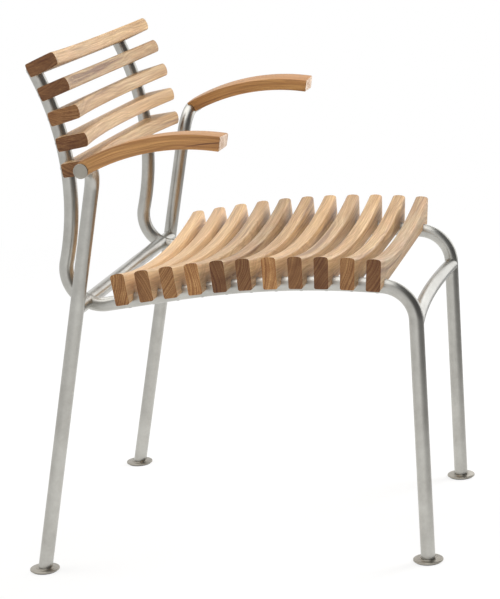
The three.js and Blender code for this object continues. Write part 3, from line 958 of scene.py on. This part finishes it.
# %% [markdown]
# No two boards have one colour. Each slat gets three numbers, which the finish reads: tone, how
# dark its end grain is, greyness, how far its long faces have weathered from honey to grey,
# and paleness, how much lighter they are. On the seat, paleness is partly the wood's own tone
# and partly painted light: it rises towards the rear, where brighter light falls on the slats.
# The tree has numbered the slats, and a list holds one value for each, from the first of the
# row to the last.

# %% Make a row and give each slat its own tones
slat_length = 461 * MM
slat_thickness = 19.5 * MM
slat_hollow = 22 * MM
slat_crown = 2 * MM
slat_edge = 2.6 * MM


def mark(piece, title, values):
    attribute = piece.data.attributes.new(title, "FLOAT", "POINT")
    attribute.data.foreach_set("value", values)


def slat_row(name, sizes, nodes, **tones):
    path = curve_object(name + "_line", [(0, y, z) for y, z, _, _ in line])
    common = {"Length": slat_length, "Thickness": slat_thickness, "Hollow": slat_hollow,
              "Crown": slat_crown, "Edge": slat_edge, "Finish": slat_teak}
    piece = grow(path, slat_tree, {**common, **sizes}, name)
    break_edges(piece)
    piece = cut_round(piece, [side_path(hand) for hand in hands.values()])
    numbers = [round(item.value) for item in piece.data.attributes["piece_number"].data]
    for title, values in tones.items():
        mark(piece, title, [values[min(len(values) - 1, max(0, i))] for i in numbers])
    settle(piece, "slat_teak", *nodes)


print("a slat is", round(slat_length / MM), "by", round(slat_thickness / MM, 1), "mm")

# %% [markdown]
# The seat's slats are 44.5 mm high and begin just behind the front corner of the rail. Their
# paleness rises towards the rear, which paints the brighter light that falls on the rear slats,
# and here and there one has a light end.

# %% Seat slats
# The tones go from the front slat to the rear one
slat_row("seat_slats", {
    "First": rail_start + front_setback, "Pitch": seat_pitch, "Count": seat_count,
    "Height": 44.5 * MM, "Saddle": 0.5 * MM},
    [f"seat_slat_{i:02d}" for i in range(1, seat_count + 1)],
    tone=[0.96, 0.5, 1.0, 0.78, 0.0, 0.95, 1.0, 0.0, 0.52, 0.66, 0.3],
    greyness=[1.0, 0.4, 0.25, 0.8, 0.1, 0.3, 0.9, 0.65, 0.1, 0.35, 0.0],
    # Paleness rising to the rear is painted light on the rear slats
    paleness=[0.1, 0.0, 0.1, 0.2, 0.3, 0.1, 0.0, 0.4, 0.8, 0.9, 1.0])

# %% [markdown]
# The back's five slats are half a millimetre higher and stand where the tube curves over. Their
# places are counted down from the top of the tube.

# %% Back slats
# The tones go from the lowest slat to the top one
back_pitch = 35.5 * MM
back_count = 5
top_setback = 4 * MM
back_first = line_length - top_setback - (back_count - 1) * back_pitch
slat_row("back_slats", {
    "First": back_first, "Pitch": back_pitch, "Count": back_count,
    "Height": 45 * MM, "Saddle": 1.1 * MM},
    [f"back_slat_{i}" for i in range(1, back_count + 1)],
    tone=[0.88, 1.0, 0.62, 1.0, 0.96], greyness=[0.5, 0.45, 0.6, 0.85, 0.3],
    paleness=[0.3, 0.5, 0.2, 0.0, 0.2])

# %% [markdown]
# An armrest is a thicker board, sawn to a gentle arch of 302 mm radius. It is an oblong with
# soft edges swept along an arc, and the edge towards the sitter is rounded more than the
# outer one. The section's own place is stored before the sweep and the distance along the
# arc with it, and together they make the grain, which so follows the arch.

# %% The tree for a bent board
board_edge_steps = 5
board_tree, size = new_tree("bent board", ["Width", "Thickness", "Right Edge", "Left Edge"])
parameter = add_node(board_tree, "GeometryNodeSplineParameter")
upright = add_node(board_tree, "GeometryNodeSetCurveNormal", {"mode": "Z_UP"}, {
    "Curve": size["Geometry"]})
measured = add_node(board_tree, "GeometryNodeStoreNamedAttribute", number_on_points, {
    "Geometry": upright, "Name": "along", "Value": parameter.outputs["Length"]})
oblong = add_node(board_tree, "GeometryNodeCurvePrimitiveQuadrilateral", {}, {
    "Width": size["Width"], "Height": size["Thickness"]})
corner_at = add_node(board_tree, "GeometryNodeInputPosition")
corner_xyz = add_node(board_tree, "ShaderNodeSeparateXYZ", {}, {0: corner_at})
edge = add_node(board_tree, "ShaderNodeMapRange", {}, {
    "Value": corner_xyz.outputs["X"], "From Min": -1 * MM, "From Max": 1 * MM,
    "To Min": size["Left Edge"], "To Max": size["Right Edge"]})
filleted = add_node(board_tree, "GeometryNodeFilletCurve", {"mode": "POLY"}, {
    "Curve": oblong, "Count": board_edge_steps, "Radius": edge})
section_at = add_node(board_tree, "GeometryNodeInputPosition")
sectioned = add_node(board_tree, "GeometryNodeStoreNamedAttribute", vector_on_points, {
    "Geometry": filleted, "Name": "across", "Value": section_at})
swept = add_node(board_tree, "GeometryNodeCurveToMesh", {}, {
    "Curve": measured, "Profile Curve": sectioned, "Fill Caps": True})
along_read = add_node(board_tree, "GeometryNodeInputNamedAttribute", {"data_type": "FLOAT"}, {
    "Name": "along"})
across_read = add_node(board_tree, "GeometryNodeInputNamedAttribute", {
    "data_type": "FLOAT_VECTOR"}, {
    "Name": "across"})
across_xyz = add_node(board_tree, "ShaderNodeSeparateXYZ", {}, {0: across_read})
grain_vector = add_node(board_tree, "ShaderNodeCombineXYZ", {}, {
    "X": along_read, "Y": across_xyz.outputs["X"], "Z": across_xyz.outputs["Y"]})
grained = add_node(board_tree, "GeometryNodeStoreNamedAttribute", vector_on_points, {
    "Geometry": swept, "Name": "grain", "Value": grain_vector})
end_tree(board_tree, grained, size["Finish"])

# %% [markdown]
# The arch is set out from the stub: its centre lies below and in front of it, and the outer
# face stands 1 mm back from the face of the cap. The wood would stop 6 mm short of the stub's
# axis, and reaches 4.5 mm further over it, as the picture shows. The points lie close
# together at the front end, because the nose is rounded there.

# %% Where the armrests lie
arm_radius = 302 * MM
arm_rise = 1.8 * MM
arm_width = 47 * MM
arm_thickness = 20 * MM
arm_rear_angle = math.radians(26.9)
arm_front_angle = math.radians(10.1)
arm_centre = Vector((0, stub_centre.y - arm_radius * math.sin(arm_rear_angle),
                     stub_centre.z + arm_rise - arm_radius * math.cos(arm_rear_angle)))
arm_setback = 1 * MM
arm_x = stub_end_x + cap_gap + cap_thickness - arm_setback - arm_width / 2
arm_lip = 6 * MM
arm_overlap = 4.5 * MM
arm_to_stub = arm_radius * (arm_rear_angle + arm_front_angle)
arm_length = arm_to_stub - arm_lip + arm_overlap
nose = 2 * MM
nose_steps = 10
arm_steps = 50


def arch_centre(hand):
    return arm_centre + Vector((hand * arm_x, 0, 0))


def arm_point(hand, distance):
    angle = distance / arm_radius - arm_front_angle
    return arch_centre(hand) + Vector((0, math.sin(angle), math.cos(angle))) * arm_radius


def arm_path(hand):
    distances = [nose * (1 - math.cos(math.radians(90 * i / nose_steps)))
                 for i in range(nose_steps + 1)]
    distances += [nose + (arm_length - nose) * (i + 1) / arm_steps for i in range(arm_steps)]
    return [arm_point(hand, distance) for distance in reversed(distances)]


print("armrest length in mm", round(arm_length / MM, 1))

# %% [markdown]
# The nose is a quarter round on every side. Each ring of points near the end is drawn towards
# the middle of the board by the depth of a circle at that place. The top of the board is
# also planed to fall 2 mm towards the sitter, which is done to the upper half of every ring.

# %% Round the nose and slope the top
top_fall = 2 * MM


def shape_arm(arm, hand):
    arm.data.update()
    for vertex, grain in zip(arm.data.vertices, arm.data.attributes["grain"].data):
        from_end = arm_length - grain.vector[0]
        if from_end < nose:
            depth = nose - math.sqrt(max(0.0, nose ** 2 - (nose - from_end) ** 2))
            middle = arm_point(hand, from_end)
            upwards = (middle - arch_centre(hand)).normalized()
            offset = vertex.co - middle
            height = offset.dot(upwards)
            offset.x *= 1 - depth / (arm_width / 2)
            vertex.co = middle + offset - upwards * height * depth / (arm_thickness / 2)
        inwards = 0.5 - hand * (vertex.co.x - hand * arm_x) / arm_width
        upper = max(0.0, -grain.vector[2]) / (arm_thickness / 2)
        vertex.co.z -= top_fall * inwards * upper


print("the top falls", round(top_fall / MM, 1), "mm towards the sitter")

# %% [markdown]
# Both armrests come from one tree. The sitter is on the other side of the left arm, so the two
# edge sizes change places. The rear end is hollowed round the stub, whose path is run on a
# little so that the cutter goes right through. Each arm takes another part of the tree, and
# only the right one has the line of resin.

# %% Armrests
inner_edge = 2.6 * MM
outer_edge = 1.6 * MM
cutter_overrun = 8 * MM
arm_looks = {
    "right": {"piece_number": 21.0, "tone": 0.5, "greyness": 0.3, "resin": 1.0},
    "left": {"piece_number": 24.0, "tone": 0.5, "greyness": 0.3, "resin": 0.0},
}
for name, hand in hands.items():
    left_edge, right_edge = (outer_edge, inner_edge) if hand > 0 else (inner_edge, outer_edge)
    arm = grow(curve_object("arm_line", arm_path(hand)), board_tree, {
        "Width": arm_width, "Thickness": arm_thickness, "Left Edge": left_edge,
        "Right Edge": right_edge, "Finish": arm_teak}, f"teak_arm_{name}")
    shape_arm(arm, hand)
    arm = cut_round(arm, [leg_path(hand, cutter_overrun)], 48)
    for title, value in arm_looks[name].items():
        mark(arm, title, [value] * len(arm.data.vertices))
    settle(arm, "arm_teak", f"armrest_{name}", f"arm_tenon_{name}")

# %% [markdown]
# Every slat is held by a screw through the tube at each crossing, put in from below on the
# seat and from behind on the back, and two more hold each armrest. They can't be seen in the
# picture, but such chairs have them. One low round head with a hexagon socket is modelled in
# a tree and stood on every marked point, along the direction that the point carries.

# %% The tree for screw heads
screw_tree, size = new_tree("set of screw heads", [
    "Head radius", "Head height", "Socket radius"])
head = add_node(screw_tree, "GeometryNodeMeshUVSphere", {}, {
    "Segments": 24, "Rings": 16, "Radius": size["Head radius"]})
flat_share = add_node(screw_tree, "ShaderNodeMath", {"operation": "DIVIDE"}, {
    0: size["Head height"], 1: size["Head radius"]})
flattened = add_node(screw_tree, "ShaderNodeCombineXYZ", {}, {"X": 1.0, "Y": 1.0, "Z": flat_share})
dome = add_node(screw_tree, "GeometryNodeTransform", {}, {"Geometry": head, "Scale": flattened})
pocket = add_node(screw_tree, "GeometryNodeMeshCylinder", {}, {
    "Vertices": 6, "Radius": size["Socket radius"], "Depth": size["Head height"]})
pocket_lift = add_node(screw_tree, "ShaderNodeCombineXYZ", {}, {"Z": size["Head height"]})
pocket_high = add_node(screw_tree, "GeometryNodeTransform", {}, {
    "Geometry": pocket.outputs["Mesh"], "Translation": pocket_lift})
socketed = add_node(screw_tree, "GeometryNodeMeshBoolean", {"operation": "DIFFERENCE"}, {
    0: dome, 1: pocket_high})
outward = add_node(screw_tree, "GeometryNodeInputNamedAttribute", {"data_type": "FLOAT_VECTOR"}, {
    "Name": "outward"})
aimed = add_node(screw_tree, "FunctionNodeAlignEulerToVector", {"axis": "Z"}, {"Vector": outward})
stood = add_node(screw_tree, "GeometryNodeInstanceOnPoints", {}, {
    "Points": size["Geometry"], "Instance": socketed, "Rotation": aimed})
end_tree(screw_tree, stood, size["Finish"])

# %% [markdown]
# The points are the vertices of a bare mesh, and each carries its direction in an attribute.
# A curve would do for the rails, but a mesh takes points that lie on no line at all.

# %% Stand the heads on marked points
head_sizes = {"Head radius": 3.4 * MM, "Head height": 0.9 * MM, "Socket radius": 1.5 * MM}


def screw_heads(name, spots):
    mesh = bpy.data.meshes.new(name + "_points")
    mesh.from_pydata([spot for spot, _ in spots], [], [])
    outward = mesh.attributes.new("outward", "FLOAT_VECTOR", "POINT")
    for i, (_, direction) in enumerate(spots):
        outward.data[i].vector = direction
    points = new_object(name + "_points", mesh)
    piece = grow(points, screw_tree, {**head_sizes, "Finish": screw_steel}, name)
    soften(piece, 40)
    settle(piece, "stainless_steel")


print("a screw head is", round(2 * head_sizes["Head radius"] / MM, 1), "mm wide")

# %% [markdown]
# On the rails the screws follow the slats' own pitch, on the side of the tube that faces away
# from the slat. Under an armrest they sit 24 and 48 mm from the stub. A head is sunk a little,
# so no gap shows under its rim.

# %% Screws of the slats and the armrests
rail_screw_sink = 0.5 * MM
arm_screw_sink = 0.4 * MM
arm_screw_places = (24 * MM, 48 * MM)


def rail_spots(first, pitch, count):
    spots = []
    for i in range(count):
        y, z, heading, _ = place_on(line, first + pitch * i)
        away = Vector((0, math.sin(heading), -math.cos(heading)))
        for hand in hands.values():
            centre = Vector((hand * rail_x(y), y, z))
            spots.append((centre + away * (tube_radius - rail_screw_sink), away))
    return spots


screw_heads("seat_slat_screws", rail_spots(rail_start + front_setback, seat_pitch, seat_count))
screw_heads("back_slat_screws", rail_spots(back_first, back_pitch, back_count))
arm_spots = []
for hand in hands.values():
    for from_stub in arm_screw_places:
        middle = arm_point(hand, arm_to_stub - from_stub)
        away = (arch_centre(hand) - middle).normalized()
        arm_spots.append((middle + away * (arm_thickness / 2 - arm_screw_sink), away))
screw_heads("armrest_screws", arm_spots)

# %% [markdown]
# The studio: a pale floor, a white surround that the camera and the steel both see, and soft
# lamps. Steel has hardly a colour of its own and is drawn by what stands around it. So the
# glossy rays also see a dim zone towards the front, where the room goes on past the paper,
# and a fainter one towards the rear. Both zones lie along one heading. The floor and the
# surround need the same few nodes for this, so two functions add them.

# %% What the rays see
white_paint = linear("#FFFFFF")
dim_heading = (0.2, -0.98, 0)
dim_level = 0.12
rear_dim = 0.2


def seen_rays(tree):
    ray = add_node(tree, "ShaderNodeLightPath").outputs
    mirrored_ray = add_node(tree, "ShaderNodeMath", {"operation": "MAXIMUM"}, {
        0: ray["Is Glossy Ray"], 1: ray["Is Transmission Ray"]})
    seen = add_node(tree, "ShaderNodeMath", {"operation": "MAXIMUM"}, {
        0: ray["Is Camera Ray"], 1: mirrored_ray})
    return ray["Is Glossy Ray"], seen


def dim_zones(tree, glossy, spot, front, rear):
    along = add_node(tree, "ShaderNodeVectorMath", {"operation": "DOT_PRODUCT"}, {
        0: spot, 1: dim_heading})
    dim_front = add_node(tree, "ShaderNodeMapRange", {}, {
        "Value": along, "From Min": front[0], "From Max": front[1]})
    dim_rear = add_node(tree, "ShaderNodeMapRange", {}, {
        "Value": along, "From Min": rear[0], "From Max": rear[1], "To Max": rear_dim})
    deeper = add_node(tree, "ShaderNodeMath", {"operation": "MAXIMUM"}, {
        0: dim_front, 1: dim_rear})
    dim = add_node(tree, "ShaderNodeMath", {"operation": "MULTIPLY"}, {0: deeper, 1: glossy})
    return add_node(tree, "ShaderNodeMapRange", {}, {
        "Value": dim, "To Min": 1.0, "To Max": dim_level})


print("steel sees", dim_level, "of white in the dim zone")

# %% [markdown]
# The floor is a sheet of pale paper. The camera sees it four fifths white near the chair, so that
# the chair's shadow still shows, and all white further off, where it runs into the surround.

# %% Floor
floor_reach = 6
paper_fades = (0.9, 2.4)
paper_white = 0.8
corners = [(-floor_reach, -floor_reach, 0), (floor_reach, -floor_reach, 0),
           (floor_reach, floor_reach, 0), (-floor_reach, floor_reach, 0)]
floor_mesh = bpy.data.meshes.new("studio_floor")
floor_mesh.from_pydata(corners, [], [(0, 1, 2, 3)])
floor = new_object("studio_floor", floor_mesh)
floor_paint, tree, shader = new_material("pale_studio_floor")
set_inputs(tree, shader, {"Base Color": linear("#F2F1EE"), "Roughness": 0.9})
glossy, seen = seen_rays(tree)
spot = add_node(tree, "ShaderNodeTexCoord").outputs["Object"]
far = add_node(tree, "ShaderNodeVectorMath", {"operation": "LENGTH"}, {0: spot})
paper = add_node(tree, "ShaderNodeMapRange", {}, {
    "Value": far, "From Min": paper_fades[0], "From Max": paper_fades[1],
    "To Min": paper_white, "To Max": 1.0})
seen_share = add_node(tree, "ShaderNodeMath", {"operation": "MULTIPLY"}, {0: seen, 1: paper})
lit = dim_zones(tree, glossy, spot, front=(0.3, 1.1), rear=(-0.2, -0.9))
white = add_node(tree, "ShaderNodeEmission", {}, {"Color": white_paint, "Strength": lit})
blend = add_node(tree, "ShaderNodeMixShader", {}, {0: seen_share, 1: shader, 2: white})
set_inputs(tree, tree.nodes["Material Output"], {"Surface": blend})
floor_mesh.materials.append(floor_paint)
print("floor laid,", 2 * floor_reach, "m wide")

# %% [markdown]
# The surround is seen at a strength of 1, which is plain white, but it lights the chair with
# less than half of that, so that the lamps can model the forms.

# %% White surround
surround_light = 0.42
world = bpy.data.worlds.new("white_surround")
bpy.context.scene.world = world
world.use_nodes = True
tree = world.node_tree
tree.nodes.clear()
glossy, seen = seen_rays(tree)
level = add_node(tree, "ShaderNodeMapRange", {}, {
    "Value": seen, "To Min": surround_light, "To Max": 1.0})
sky = add_node(tree, "ShaderNodeTexCoord").outputs["Generated"]
dimming = dim_zones(tree, glossy, sky, front=(-0.05, 0.4), rear=(-0.3, -0.8))
dimmed = add_node(tree, "ShaderNodeMath", {"operation": "MULTIPLY"}, {0: level, 1: dimming})
glow = add_node(tree, "ShaderNodeBackground", {}, {"Color": white_paint, "Strength": dimmed})
add_node(tree, "ShaderNodeOutputWorld", {}, {"Surface": glow})
print("surround made with", len(tree.nodes), "nodes")

# %% [markdown]
# Large lamps give soft shadows. The one at the front right does most of the work, one overhead
# fills in, and one at the rear keeps the backs of the slats from going black. Only the overhead
# lamp and the one beyond the far side show in the steel: the far one draws the bright
# streak along each tube and lays a sheen on wood that is seen at a low angle. The others
# would add streaks that the real tubes don't have.

# %% Soft lamps
def soft_lamp(name, place, size, watts, shows):
    data = bpy.data.lights.new(name, "AREA")
    data.shape = "RECTANGLE"
    data.size, data.size_y = size
    data.energy = watts
    lamp = new_object(name, data)
    lamp.location = place
    lamp.rotation_euler = (aim - Vector(place)).to_track_quat("-Z", "Y").to_euler()
    lamp.visible_camera = False
    lamp.visible_glossy = shows


aim = Vector((0, 0, 0.4))
soft_lamp("front_softbox", (1.3, -2.0, 2.1), (1.2, 1.2), 63, shows=False)
soft_lamp("rear_softbox", (-0.4, 1.7, 2.2), (1.4, 1.4), 24, shows=False)
soft_lamp("overhead_softbox", (0, 0.4, 2.6), (3.2, 3.2), 40, shows=True)
soft_lamp("far_side_softbox", (1.9, -1.1, 0.9), (2.4, 2.0), 20, shows=True)
soft_lamp("near_side_fill", (-2.6, -0.7, 1.1), (1.4, 1.8), 14, shows=False)
print("lamps made")

# %% [markdown]
# The camera stands to the chair's right, a little in front and above, as the picture was
# taken. Its place and lens were found by fitting the chair's own corners to the picture,
# so the render can be laid over it.

# %% Camera
azimuth, elevation, roll = math.radians(-76.62), math.radians(12.68), math.radians(-3.78)
camera_place = (-2.8649, -0.6764, 0.9934)
lens_mm = 123.87
level_reach = math.cos(elevation)
backwards = Vector((math.sin(azimuth) * level_reach, -math.cos(azimuth) * level_reach,
                    math.sin(elevation)))
level_right = Vector((math.cos(azimuth), math.sin(azimuth), 0))
level_up = backwards.cross(level_right)
right = level_right * math.cos(roll) + level_up * math.sin(roll)
up = -level_right * math.sin(roll) + level_up * math.cos(roll)
camera_data = bpy.data.cameras.new("picture_camera")
camera_data.sensor_width = 36
camera_data.lens = lens_mm
camera = new_object("picture_camera", camera_data)
turn_matrix = Matrix((right, up, backwards)).transposed().to_4x4()
camera.matrix_world = Matrix.Translation(camera_place) @ turn_matrix
bpy.context.scene.camera = camera
bpy.context.scene.view_settings.view_transform = "Standard"
print("camera at", [round(v, 3) for v in camera.location])
